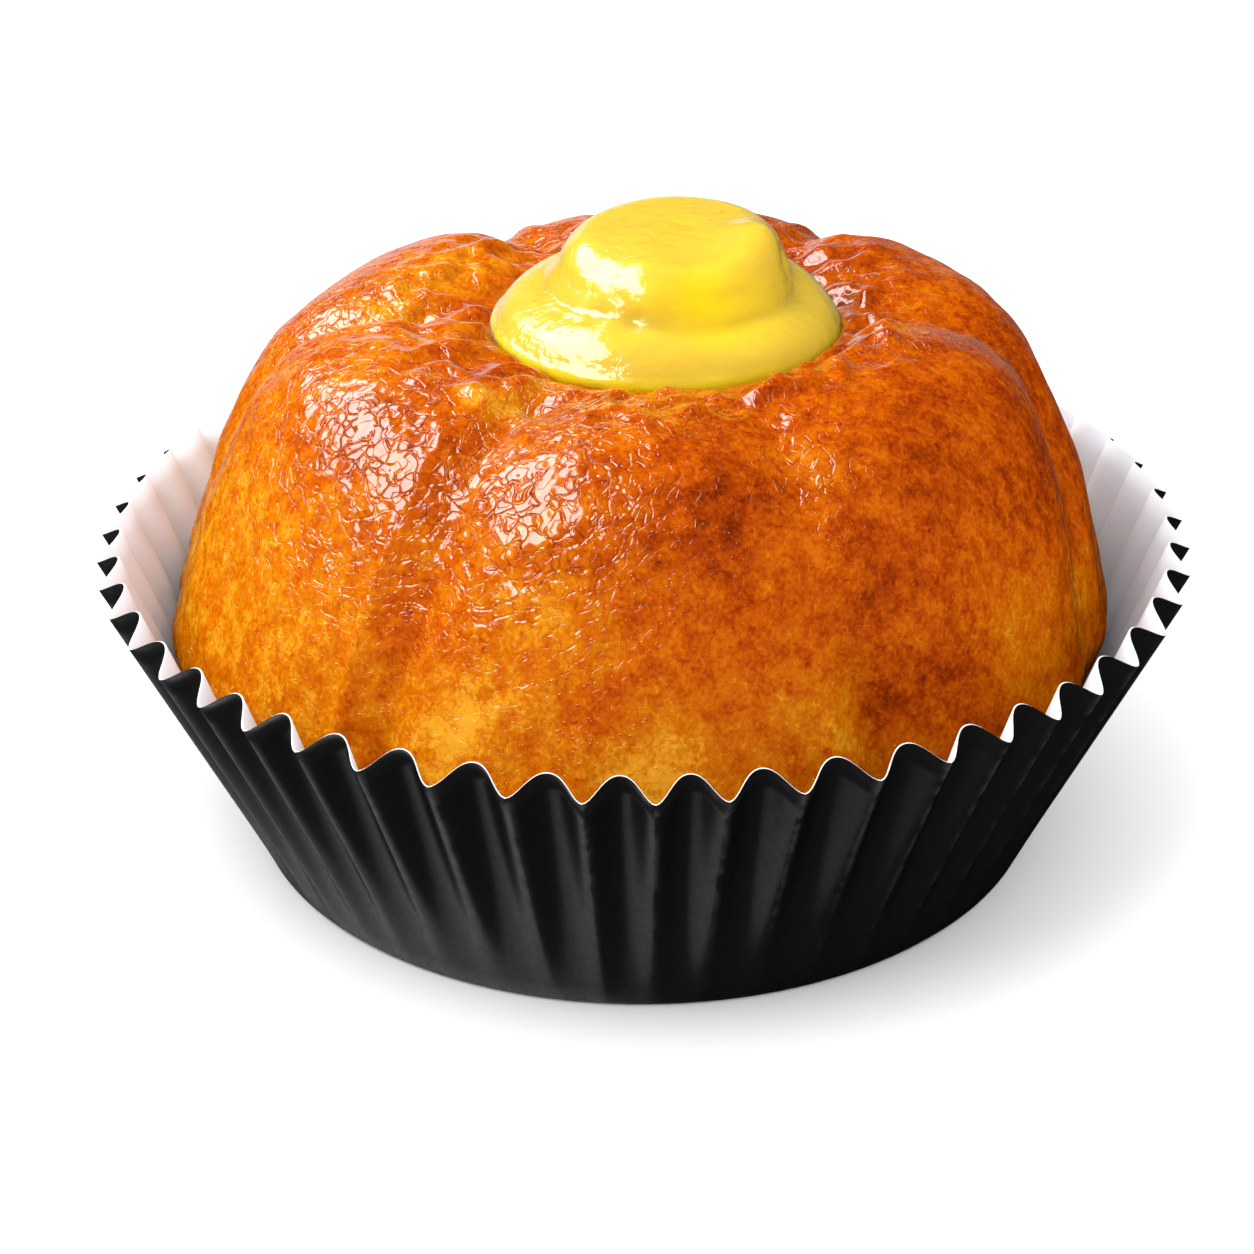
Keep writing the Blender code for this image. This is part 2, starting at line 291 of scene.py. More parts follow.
# Bumps of the glaze: the size of each kind and how far it stands out or sinks in.
LUMP_SIZE, LUMP_DEPTH = 1.9 * MM, 0.30 * MM
FLAKE_SIZE, FLAKE_DEPTH = 1.5 * MM, 0.13 * MM
FLAKE_CLUSTER_SIZE, FLAKE_CLUSTER_LEVELS = 2.2 * MM, (0.32, 0.46)
CURL_SIZE, CURL_DEPTH = 1.1 * MM, 0.09 * MM
BEAD_SIZE, BEAD_DEPTH, BEAD_SHARE = 0.5 * MM, 0.12 * MM, 0.5
BEAD_CLUSTER_SIZE, BEAD_CLUSTER_LEVELS = 6.0 * MM, (0.5, 0.65)
CREASE_SWIRL = 0.4  # how far a crease curls, as a share of its flake's size
CREASE_LEVEL = 0.035  # how far from the noise's middle a crease reaches
FLAKE_SWIRL = 0.65  # the same two for the closed creases round flakes
FLAKE_EDGE = 0.12
BEAD_RADIUS = 0.30  # as a share of the space between beads

# Curd: outline of one spoonful from its underside, round the skirt and the fold above it, to its flat top,
# as (radius, height) in mm.
CURD_OUTLINE = [
    (0.0, 42.6),
    (9.6, 42.8),
    (12.8, 43.9),
    (14.4, 45.2),
    (15.0, 46.2),
    (14.7, 47.2),
    (13.6, 48.4),
    (12.0, 49.3),
    (10.7, 49.8),
    (10.3, 50.5),
    (9.6, 52.0),
    (8.9, 53.5),
    (7.6, 54.7),
    (5.4, 54.95),
    (0.0, 55.05),
]
CURD_SIDES = 288
CURD_SPACING = 0.28 * MM
DOME_SHIFT = 0.5 * MM  # how far the dome stands to +X of the skirt
DOME_FROM = 48.0 * MM
DOME_TO = 52.0 * MM
DOME_TILT = 0.03  # rise of the dome for each metre towards +X
DOME_NOD = 0.05  # the same towards +Y
# The fold between skirt and dome goes up and down round the dollop: (azimuth, rise in mm)
FOLD_CLIMB = [
    (-180.0, 0.6),
    (-110.0, 0.8),
    (-60.0, 0.3),
    (-30.0, 0.7),
    (0.0, 0.6),
    (35.0, 0.2),
    (75.0, 0.0),
    (110.0, 0.6),
    (180.0, 0.6),
]
FOLD_BELOW = 47.2 * MM, 49.6 * MM  # the skirt goes with the fold from here up, and the dome up to there
FOLD_ABOVE = 50.4 * MM, 55.2 * MM
# Ridges and hollows that the spoon left, in the form of the cake's ribs.
CURD_RIDGES = [
    ((-20.0, 49.2, 0.2), (-30.0, 47.0, 0.0), 3.0),
    ((20.0, 49.0, -0.25), (10.0, 47.0, 0.0), 3.0),
]
RIPPLE_SIZE = 2.5 * MM
RIPPLE_STRETCH = (0.5, 0.5, 1.6)  # ripples lie flat, round the dollop
RIPPLE_RISE = 46.0 * MM, 48.0 * MM  # heights between which they begin
# Swellings and hollows of the dollop, in the form of the cake's.
CURD_SWELLINGS = [
    (-45.0, 8.0, 54.4, 2.8, -0.7),
    (-12.0, 9.6, 52.4, 1.9, 0.5),
    (-38.0, 9.8, 52.2, 1.6, 0.25),
    (-36.0, 10.5, 50.4, 1.2, -0.4),
    (-18.0, 10.5, 50.4, 1.2, -0.4),
    (20.0, 8.0, 54.4, 4.0, -0.5),
    (82.0, 7.0, 54.9, 2.2, 0.6),
    (88.0, 9.6, 51.4, 1.4, -0.6),
]
# Where the curd is thick and deep yellow, out of the painted sheen that the pale colour gives the rest of
# the dome: azimuth, then radius, height and size in mm, and the share.
CURD_DEPTHS = [
    (15.0, 9.8, 52.0, 3.6, 0.9),
    (50.0, 10.0, 51.4, 3.0, 0.5),
]
# At the brim the deep yellow is partly the thick curd, partly painted light over the shade where it meets
# the crust.
BRIM_SHARE = 0.8  # the same where the skirt meets the crust
BRIM_FADE = 46.2 * MM, 47.8 * MM
# Thin raised lines where a layer of curd ends: height, width and rise in mm, then the line's two azimuths.
CURD_LIPS = [
    (49.8, 0.3, 0.25, -85.0, -10.0),
    (46.9, 0.35, 0.2, -130.0, 0.0),
]
LIP_FADE = 20.0  # degrees that a line takes to rise and to die away
# Patterns in the curd: the size of each, its stretch, and its tones or depth.
WISP_SIZE, WISP_STRETCH, WISP_TONES = 3.5 * MM, (0.5, 0.5, 1.4), (-0.14, 0.14)
SWELL_SIZE, SWELL_STRETCH, SWELL_DEPTH = 2.4 * MM, (0.6, 0.6, 1.5), 0.22 * MM
DENT_SIZE, DENT_DEPTH = 0.8 * MM, 0.08 * MM
DENT_SWIRL_SIZE, DENT_SWIRL = 1.5 * MM, 0.8 * MM

# Camera, fitted to the case: where it stands, what it looks at, its turn about its own axis, and its lens.
CAMERA_PLACE = (0.0, -248.0 * MM, 146.4 * MM)
CAMERA_AIM = (-1.5 * MM, 0.0, 17.0 * MM)
CAMERA_ROLL = -0.476
CAMERA_LENS = 89.08
CAMERA_SENSOR = 36.0

# Area lights: the point they look at, then the way to each one, its distance, and its width and height.
LIGHTS_AIM = (0.0, 0.0, 35.0 * MM)
SOFTBOX = (-0.665, 0.05, 0.745), 0.5, (0.72, 0.29)
FLOOR_SOFTBOX = (-0.354, -0.354, 0.866), 0.8, (0.4, 0.4)
BOUNCE = (-0.5, 0.1, -0.86), 0.3, (0.3, 0.3)
# The backdrop in the gloss: along each axis of the way to it, from where it starts to where it is whole.
BACKDROP_BEHIND = 0.82, 0.98
BACKDROP_LOW = 0.35, 0.0
BACKDROP_LEFT = 0.12, -0.05
BACKDROP_ON_RIGHT = 0.35  # share of its brightness that is left on the right
FLOOR_HALF = 4.0  # from its middle to its edge
FLOOR_DROP = 0.02 * MM  # keeps the floor off the case's underside


# ---------------------------------------------------------------- settings

def colour_setting(name, description, default):
    return FloatVectorProperty(
        name=name, description=description, subtype="COLOR", size=3, min=0.0, max=1.0, default=default
    )


def length_setting(name, description, default):
    return FloatProperty(
        name=name, description=description, unit="LENGTH", min=0.0, precision=5, default=default
    )


def share_setting(name, description, default):
    return FloatProperty(
        name=name, description=description, subtype="FACTOR", min=0.0, max=1.0, default=default
    )


def brightness_setting(name, description, default):
    return FloatProperty(name=name, description=description, min=0.0, default=default)


class CaseSettings(bpy.types.PropertyGroup):
    pleats: IntProperty(name="Pleats", description="Pleats round the case", min=8, default=52)
    paper: length_setting("Paper", "Thickness of the paper", 0.16 * MM)
    outside: colour_setting("Outside", "Colour of the paper's outside", (0.0045, 0.0044, 0.0046))
    # Paler along the outer folds: partly worn paper, partly painted sheen.
    crease_wear_and_sheen: colour_setting("Crease", "Colour of the worn crease along an outer fold", (0.03, 0.03, 0.03))
    lining: colour_setting("Lining", "Colour of the paper's inside", (0.79, 0.81, 0.85))


class CrustSettings(bpy.types.PropertyGroup):
    wrinkle_depth: length_setting("Wrinkle depth", "Depth of the fine wrinkles in the glaze", 0.07 * MM)
    wrinkle_size: length_setting("Wrinkle size", "Width of one flake between the wrinkles", 1.7 * MM)
    glaze: share_setting("Glaze roughness", "Roughness of the glaze over the crust", 0.10)
    crumb: colour_setting("Crumb", "Palest crust, where the crumb shines through", (0.62, 0.27, 0.012))
    amber: colour_setting("Amber", "Lightly baked crust", (0.48, 0.135, 0.001))
    orange: colour_setting("Orange", "Crust of middling bake", (0.40, 0.068, 0.0004))
    rust: colour_setting("Rust", "Well baked crust", (0.26, 0.030, 0.0003))
    brown: colour_setting("Brown", "Darkest crust", (0.12, 0.012, 0.0003))


class CurdSettings(bpy.types.PropertyGroup):
    thick: colour_setting("Thick", "Colour where the curd is thick", (0.75, 0.535, 0.001))
    # Pale colour for the skirt, and for the painted sheen over the dome's lit upper left and top.
    thin_and_sheen: colour_setting("Thin", "Colour where the curd is thin", (0.57, 0.39, 0.034))
    ripple: length_setting("Ripple", "Height of the ripples the spoon left", 0.07 * MM)
    gloss: share_setting("Gloss roughness", "Roughness of the wet surface", 0.09)


class StageSettings(bpy.types.PropertyGroup):
    softbox: brightness_setting("Softbox", "Brightness of the softbox", 6.2)
    fill: brightness_setting("Fill", "Brightness of the even fill", 1.55)
    backdrop: brightness_setting("Backdrop", "Brightness of the backdrop in gloss", 0.7)
    room: brightness_setting("Room", "Brightness of the rest of the room in gloss", 0.0)
    floor_light: brightness_setting("Floor light", "Brightness of the floor's own softbox", 6.0)
    bounce: brightness_setting("Bounce", "Brightness of the light from below on the paper", 0.45)
    floor: colour_setting("Floor", "Colour of the floor", (0.93, 0.93, 0.93))


# ---------------------------------------------------------------- shapes

def ease(value, start, end):
    """0 up to start, 1 from end on, and a smooth step between them, for a number or an array."""
    share = np.clip((value - start) / (end - start), 0.0, 1.0)
    return share * share * (3.0 - 2.0 * share)


def along(table, places):
    """The eased values between the rows of a table of (place, value)."""
    rows, values = np.array(table).T
    total = np.full(np.shape(places), values[0])
    for start, end, step in zip(rows, rows[1:], np.diff(values)):
        total = total + step * ease(places, start, end)
    return total


def smooth_line(outline, spacing_of):
    """The outline in metres with its corners rounded, as points that spacing_of(start, end) puts apart."""
    points = [Vector((radius, 0.0, height)) * MM for radius, height in outline]
    last = len(points) - 1
    ways = [(points[min(i + 1, last)] - points[max(i - 1, 0)]).normalized() for i in range(last + 1)]
    line = []
    for i in range(last):
        length = (points[i + 1] - points[i]).length
        handles = points[i] + ways[i] * length / 3.0, points[i + 1] - ways[i + 1] * length / 3.0
        steps = max(2, math.ceil(length / spacing_of(points[i], points[i + 1])))
        line += interpolate_bezier(points[i], *handles, points[i + 1], steps + 1)[:-1]
    return line + [points[last]]


def turned(line, sides):
    """A closed surface: a line that starts and ends on the Z axis, turned round that axis."""
    mesh = bmesh.new()
    rings = len(line) - 1
    bmesh.ops.create_grid(mesh, x_segments=rings, y_segments=sides, size=1.0)
    # The grid goes from -1 to 1 both ways: along X it becomes the line, and along Y half a turn each way.
    for vert in mesh.verts:
        point = line[round((vert.co.x + 1.0) / 2.0 * rings)]
        vert.co = placed(point.x, vert.co.y * 180.0, point.z)
    bmesh.ops.remove_doubles(mesh, verts=mesh.verts, dist=MERGE_WITHIN)
    bmesh.ops.recalc_face_normals(mesh, faces=mesh.faces)
    mesh.normal_update()
    return mesh


def placed(radius, azimuth, height):
    angle = math.radians(azimuth)
    return Vector((radius * math.sin(angle), -radius * math.cos(angle), height))


def turn_between(first, second):
    """The shorter way round from the second azimuth to the first, in degrees."""
    return (first - second + 180.0) % 360.0 - 180.0


def points_of(mesh):
    return np.array([vert.co for vert in mesh.verts])


def set_points(mesh, points):
    for vert, point in zip(mesh.verts, points.tolist()):
        vert.co = point


def set_attribute(mesh, name, values):
    """Stores one number for each point, for the materials to read."""
    layer = mesh.verts.layers.float.new(name)
    for vert, value in zip(mesh.verts, values.tolist()):
        vert[layer] = value


def rounds_of(points):
    """Each point's azimuth and its distance from the Z axis."""
    return np.degrees(np.arctan2(points[:, 0], -points[:, 1])), np.hypot(points[:, 0], points[:, 1])


def from_rounds(azimuth, radius, height):
    angle = np.radians(azimuth)
    return np.column_stack((radius * np.sin(angle), -radius * np.cos(angle), height))


def noise_of(points, size):
    """Smooth noise from -1 to 1 with blobs of that size."""
    return np.array([noise.noise(point) for point in (points / size).tolist()])


def swirled(points, size, reach):
    """The points moved about by up to reach, in swirls of that size."""
    noise.seed_set(SWIRL_SEED)
    return points + reach * np.array([noise.noise_vector(point) for point in (points / size).tolist()])


def spots(table, points):
    """What a table's round soft spots add at the points: (azimuth, radius, height, size in mm, value)."""
    total = np.zeros(len(points))
    for azimuth, radius, height, size, value in table:
        middle = placed(radius * MM, azimuth, height * MM)
        away = np.linalg.norm(points - np.array(middle), axis=1) / (size * MM)
        total += value * np.exp(-(away**2))
    return total


def add_piece(name, mesh, materials, node):
    """The finished mesh as an object that stands for a CAD node and rides on the cake's one body."""
    data = bpy.data.meshes.new(name)
    mesh.to_mesh(data)
    mesh.free()
    for one in materials:
        data.materials.append(one)
    data.shade_smooth()
    piece = bpy.data.objects.new(name, data)
    bpy.context.scene.collection.objects.link(piece)
    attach(piece, "root")
    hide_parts(node)
    return piece


# ---------------------------------------------------------------- materials

def new_material(name):
    made = bpy.data.materials.new(name)
    made.use_nodes = True
    return made, made.node_tree, made.node_tree.nodes["Principled BSDF"]


def put(tree, socket, value):
    """Links a socket to another one's output, or sets it to a plain value."""
    if isinstance(value, bpy.types.NodeSocket):
        tree.links.new(value, socket)
    else:
        socket.default_value = value


def add_node(tree, kind, inputs, output=0, **settings):
    """A new node's output, with its settings and inputs, which are given by name or number."""
    made = tree.nodes.new(kind)
    for name, value in settings.items():
        setattr(made, name, value)
    for key, value in inputs.items():
        put(tree, made.inputs[key], value)
    return made.outputs[output]


def object_place(tree):
    return add_node(tree, "ShaderNodeTexCoord", {}, "Object")


def stretched(tree, place, scale):
    return add_node(tree, "ShaderNodeMapping", {"Vector": place, "Scale": scale})


def cloud(tree, place, size, detail=2.0, output="Fac"):
    """Soft noise with blobs of that size."""
    inputs = {"Vector": place, "Scale": 1.0 / size, "Detail": detail, "Roughness": CLOUD_ROUGHNESS}
    return add_node(tree, "ShaderNodeTexNoise", inputs, output)


def shifted(tree, place, size, reach):
    """The place moved about by up to reach, in swirls of that size."""
    swirl = cloud(tree, place, size, 0.0, "Color")
    centred = add_node(tree, "ShaderNodeVectorMath", {0: swirl, 1: (0.5, 0.5, 0.5)}, operation="SUBTRACT")
    inputs = {0: centred, 1: (2.0 * reach,) * 3, 2: place}
    return add_node(tree, "ShaderNodeVectorMath", inputs, operation="MULTIPLY_ADD")


def calc(tree, operation, first, second=0.0, third=0.0):
    return add_node(tree, "ShaderNodeMath", {0: first, 1: second, 2: third}, operation=operation)


def spread(tree, value, low, high, to_low=0.0, to_high=1.0):
    """The value's stretch from low to high, mapped smoothly to another."""
    inputs = {"Value": value, "From Min": low, "From Max": high, "To Min": to_low, "To Max": to_high}
    return add_node(tree, "ShaderNodeMapRange", inputs, interpolation_type="SMOOTHSTEP")


def banded(tree, value, ends, levels=(0.3, 0.7)):
    """A cloud's stretch between two levels, mapped smoothly to the two ends."""
    return spread(tree, value, *levels, *ends)


def creases(tree, place, size):
    """0 in thin curly creases round flakes of that size, and 1 between them."""
    level = cloud(tree, shifted(tree, place, size, CREASE_SWIRL * size), size, 0.0)
    return spread(tree, calc(tree, "ABSOLUTE", calc(tree, "SUBTRACT", level, 0.5)), 0.0, CREASE_LEVEL)


def flakes(tree, place, size):
    """1 in thin creases round flakes of that size, and 0 on the flakes."""
    inputs = {"Vector": shifted(tree, place, size, FLAKE_SWIRL * size), "Scale": 1.0 / size}
    edge = add_node(tree, "ShaderNodeTexVoronoi", inputs, "Distance", feature="DISTANCE_TO_EDGE")
    return spread(tree, edge, 0.0, FLAKE_EDGE, 1.0, 0.0)


def beads(tree, place, size, share):
    """1 on small round drops that size apart, of which that share is there, and 0 between them."""
    drops = add_node(tree, "ShaderNodeTexVoronoi", {"Vector": place, "Scale": 1.0 / size}).node
    there = spread(tree, drops.outputs["Color"], 1.0 - share, 1.01 - share)
    return calc(tree, "MULTIPLY", spread(tree, drops.outputs["Distance"], BEAD_RADIUS, 0.0), there)


def blended(tree, share, first, second):
    """The first colour where the share is 0, and the second where it is 1."""
    inputs = {0: share, 6: (*first, 1.0), 7: (*second, 1.0)}
    return add_node(tree, "ShaderNodeMix", inputs, 2, data_type="RGBA")


def ramp(tree, value, stops):
    """A colour ramp with the given (place, colour) stops."""
    made = tree.nodes.new("ShaderNodeValToRGB")
    put(tree, made.inputs["Fac"], value)
    elements = made.color_ramp.elements
    while len(elements) < len(stops):
        elements.new(0.5)
    for element, (place, colour) in zip(elements, stops):
        element.position = place
        element.color = (*colour, 1.0)
    return made.outputs["Color"]


def relief(tree, height, depth, under=None):
    """A bump whose height of 1 stands out by that depth, over another bump."""
    inputs = {"Height": height, "Distance": depth, "Strength": 1.0}
    if under is not None:
        inputs["Normal"] = under
    return add_node(tree, "ShaderNodeBump", inputs)


def lining_material(settings):
    """White paper with a fine fibrous grain."""
    made, tree, shader = new_material("white_lining")
    place = object_place(tree)
    fibres = cloud(tree, stretched(tree, place, FIBRE_STRETCH), LINING_FIBRES, 3.0)
    tone = banded(tree, cloud(tree, place, LINING_CLOUD_SIZE), LINING_TONES)
    tinted = add_node(tree, "ShaderNodeVectorMath", {0: settings.lining, "Scale": tone}, operation="SCALE")
    put(tree, shader.inputs["Base Color"], tinted)
    put(tree, shader.inputs["Roughness"], banded(tree, fibres, LINING_ROUGHNESS))
    put(tree, shader.inputs["Normal"], relief(tree, fibres, LINING_GRAIN))
    return made


def outside_material(settings):
    """Satin black paper, paler along the creases of its outer folds: partly wear, partly a painted sheen
    where the folds catch the light.
    """
    made, tree, shader = new_material("satin_black_paper")
    place = object_place(tree)
    crease_wear_and_sheen = add_node(tree, "ShaderNodeAttribute", {}, "Fac", attribute_name="crease_wear_and_sheen")
    fibres = cloud(tree, stretched(tree, place, FIBRE_STRETCH), OUTSIDE_FIBRES, 3.0)
    wear_and_sheen = calc(tree, "MULTIPLY", crease_wear_and_sheen, spread(tree, cloud(tree, place, WEAR_AND_SHEEN_SIZE), *WEAR_AND_SHEEN_LEVELS))
    put(tree, shader.inputs["Base Color"], blended(tree, wear_and_sheen, settings.outside, settings.crease_wear_and_sheen))
    put(tree, shader.inputs["Roughness"], banded(tree, fibres, OUTSIDE_ROUGHNESS))
    put(tree, shader.inputs["Normal"], relief(tree, fibres, OUTSIDE_GRAIN))
    return made


def crust_material(settings):
    """Baked crust under a thin wet glaze that is creased into small flakes."""
    made, tree, shader = new_material("glazed_crust")
    place = object_place(tree)
    browning_and_painted_light = add_node(tree, "ShaderNodeAttribute", {}, "Fac", attribute_name="browning_and_painted_light")
    wrinkled = add_node(tree, "ShaderNodeAttribute", {}, "Fac", attribute_name="wrinkled")

    swirled_place = shifted(tree, place, MOTTLE_SWIRL_SIZE, MOTTLE_SWIRL)
    patterns = [
        banded(tree, cloud(tree, place, BLOTCH_SIZE, 3.0), BLOTCH_TONES, BLOTCH_LEVELS),
        banded(tree, cloud(tree, swirled_place, MOTTLE_SIZE), MOTTLE_TONES),
        banded(tree, cloud(tree, place, GRAIN_SIZE), GRAIN_TONES),
        spread(tree, creases(tree, place, THREAD_SIZE), 0.0, 1.0, *THREAD_TONES),
        spread(tree, creases(tree, place, VEIN_SIZE), 0.0, 1.0, *VEIN_TONES),
        banded(tree, cloud(tree, place, SPECK_SIZE, 1.0), SPECK_TONES, SPECK_LEVELS),
    ]
    # The colour starts from the browning attribute, which holds painted shade and painted highlights besides
    # the bake.
    bake_and_painted_light = browning_and_painted_light
    for pattern in patterns:
        bake_and_painted_light = calc(tree, "ADD", bake_and_painted_light, pattern)
    stops = [
        (0.0, settings.crumb),
        (0.25, settings.amber),
        (0.50, settings.orange),
        (0.75, settings.rust),
        (1.0, settings.brown),
    ]
    put(tree, shader.inputs["Base Color"], ramp(tree, bake_and_painted_light, stops))

    bumps = relief(tree, cloud(tree, place, LUMP_SIZE, 1.0), LUMP_DEPTH)
    there = spread(tree, cloud(tree, place, FLAKE_CLUSTER_SIZE, 0.0), *FLAKE_CLUSTER_LEVELS)
    sunk = calc(tree, "MULTIPLY", calc(tree, "MULTIPLY", flakes(tree, place, FLAKE_SIZE), there), wrinkled)
    bumps = relief(tree, calc(tree, "MULTIPLY", sunk, -1.0), FLAKE_DEPTH, bumps)
    curls = spread(tree, creases(tree, place, CURL_SIZE), 0.0, 1.0, -1.0, 0.0)
    bumps = relief(tree, calc(tree, "MULTIPLY", curls, wrinkled), CURL_DEPTH, bumps)
    clustered = spread(tree, cloud(tree, place, BEAD_CLUSTER_SIZE, 1.0), *BEAD_CLUSTER_LEVELS)
    drops = calc(tree, "MULTIPLY", beads(tree, place, BEAD_SIZE, BEAD_SHARE), clustered)
    bumps = relief(tree, drops, BEAD_DEPTH, bumps)
    put(tree, shader.inputs["Normal"], bumps)
    put(tree, shader.inputs["Coat Normal"], bumps)

    shader.inputs["Roughness"].default_value = 0.6
    shader.inputs["Specular IOR Level"].default_value = 0.0
    shader.inputs["Subsurface Weight"].default_value = 0.4
    shader.inputs["Subsurface Radius"].default_value = (1.0, 0.35, 0.08)
    shader.inputs["Subsurface Scale"].default_value = 1.2 * MM
    shader.inputs["Coat Weight"].default_value = 1.0
    shader.inputs["Coat Roughness"].default_value = settings.glaze
    shader.inputs["Coat IOR"].default_value = 1.85
    return made


def curd_material(settings):
    """Wet lemon curd that lets light in, paler where it is not thick: on its skirt, and as painted sheen
    over the dome's lit upper left and top.
    """
    made, tree, shader = new_material("lemon_curd")
    place = object_place(tree)
    thinness_and_sheen = add_node(tree, "ShaderNodeAttribute", {}, "Fac", attribute_name="thinness_and_sheen")
    wisps = banded(tree, cloud(tree, stretched(tree, place, WISP_STRETCH), WISP_SIZE, 3.0), WISP_TONES)
    share = calc(tree, "ADD", thinness_and_sheen, wisps)
    put(tree, shader.inputs["Base Color"], blended(tree, share, settings.thick, settings.thin_and_sheen))
    bumps = relief(tree, cloud(tree, stretched(tree, place, SWELL_STRETCH), SWELL_SIZE), SWELL_DEPTH)
    dents = cloud(tree, shifted(tree, place, DENT_SWIRL_SIZE, DENT_SWIRL), DENT_SIZE)
    bumps = relief(tree, dents, DENT_DEPTH, bumps)
    put(tree, shader.inputs["Normal"], bumps)
    put(tree, shader.inputs["Coat Normal"], bumps)
    shader.inputs["Roughness"].default_value = 0.25
    shader.inputs["Specular IOR Level"].default_value = 0.2
    shader.inputs["Subsurface Weight"].default_value = 1.0
    shader.inputs["Subsurface Radius"].default_value = (1.0, 0.8, 0.25)
    shader.inputs["Subsurface Scale"].default_value = 4.0 * MM
    shader.inputs["Coat Weight"].default_value = 1.0
    shader.inputs["Coat Roughness"].default_value = settings.gloss
    shader.inputs["Coat IOR"].default_value = 1.75
    return made


# ---------------------------------------------------------------- paper case

def pleat_wave(turns):
    """1 on an outer fold and -1 on an inner fold, for a place counted in pleats round the case."""
    angle = math.tau * turns
    soft = np.cos(angle) + FOLD_SHARPNESS * (np.cos(2.0 * angle) - 1.0)
    creased = 1.0 - 2.0 * np.abs(np.sin(angle / 2.0))
    return soft + (creased - soft) * CREASE_SHARE


def pleat_drift(azimuth):
    angle = np.radians(azimuth)
    return SLOW_DRIFT * np.sin(angle) - FAST_DRIFT * np.sin(FAST_DRIFT_PLACES * angle)


def pleat_share(height):
    """The pleats' depth at a height, as a share of their depth at the rim."""
    climb = (height - CASE_BASE_CHAMFER) / (RIM_HEIGHT - CASE_BASE_CHAMFER)
    return np.interp(climb, (0.0, PLEAT_START, 1.0), (0.0, DEPTH_AT_START, 1.0))


def case_line(paper):
    """The case's closed section: up the outside to the rim and down the inside, with unpleated walls."""
    foot = Vector((CASE_BASE_RADIUS, 0.0, CASE_BASE_CHAMFER))
    rim = Vector((RIM_RADIUS, 0.0, RIM_HEIGHT))
    wall = [foot.lerp(rim, step / WALL_STEPS) for step in range(WALL_STEPS + 1)]
    floor_edge = Vector((CASE_BASE_RADIUS - CASE_BASE_CHAMFER, 0.0, 0.0))
    middle = Vector((0.0, 0.0, 0.0))
    inward = Vector((-paper, 0.0, 0.0))
    upward = Vector((0.0, 0.0, paper))
    inside = [point + inward for point in reversed(wall)]
    return [middle, floor_edge, *wall, *inside, floor_edge + inward + upward, middle + upward]


def is_lining(face):
    """Whether a face of the unpleated case looks up or towards the axis."""
    middle = face.calc_center_median()
    outward = Vector((middle.x, middle.y, 0.0))
    return face.normal.z > 0.0 and face.normal.dot(outward) <= 0.0


def make_case(settings):
    pleats = settings.pleats
    draw = random.Random(PLEAT_SEED)
    depths = np.array([1.0 + PLEAT_UNEVENNESS * draw.uniform(-1.0, 1.0) for _ in range(pleats)])
    mesh = turned(case_line(settings.paper), pleats * POINTS_PER_PLEAT)
    for face in mesh.faces:
        face.material_index = 1 if is_lining(face) else 0
    points = points_of(mesh)
    azimuth, radius = rounds_of(points)
    height = points[:, 2]
    turns = azimuth * pleats / 360.0
    share = pleat_share(height)
    wave = pleat_wave(turns)
    wave = share * np.where(wave < 0.0, wave * depths[np.floor(turns).astype(int) % pleats], wave)
    # Paler along each outer fold: partly wear, partly painted sheen on the fold.
    set_attribute(mesh, "crease_wear_and_sheen", share * (1.0 - ease(np.abs(turns - np.round(turns)), 0.0, CREASE_WIDTH)))
    turned_to = azimuth + FIRST_PLEAT_AZIMUTH + pleat_drift(azimuth)
    set_points(mesh, from_rounds(turned_to, radius + PLEAT_DEPTH * wave, height - PLEAT_DROP * wave))
    materials = [outside_material(settings), lining_material(settings)]
    piece = add_piece("paper_case_pleated", mesh, materials, "paper_case")
    piece.visible_glossy = False
    return piece


# ---------------------------------------------------------------- cake

def room_in_case(height):
    """The largest radius at a height that stays clear of the case's inner folds."""
    slope = (INNER_FOLD_RADIUS - CASE_BASE_RADIUS) / (INNER_FOLD_HEIGHT - CASE_BASE_CHAMFER)
    return CASE_BASE_RADIUS + slope * (height - CASE_BASE_CHAMFER) - SOLID_PAPER - GAP


def line_height(lines, azimuth, radius, height, fall_off):
    """How much all grooves or ribs together add at places on the skin, in metres."""
    total = np.zeros_like(height)
    for (top_azimuth, top, top_depth), (foot_azimuth, foot, foot_depth), width in lines:
        risen = ease(height, foot * MM, top * MM)
        middle = foot_azimuth + turn_between(top_azimuth, foot_azimuth) * risen
        away = radius * np.radians(np.abs(turn_between(azimuth, middle))) / (width * MM)
        total += (foot_depth + (top_depth - foot_depth) * risen) * MM * np.exp(-(away**fall_off))
    return total


def wrinkles(points, size):
    """-1 in the curly creases of the glaze, and 0 between them."""
    level = np.abs(noise_of(swirled(points, size, WRINKLE_SWIRL * size), size))
    return ease(level, 0.0, WRINKLE_WIDTH) - 1.0


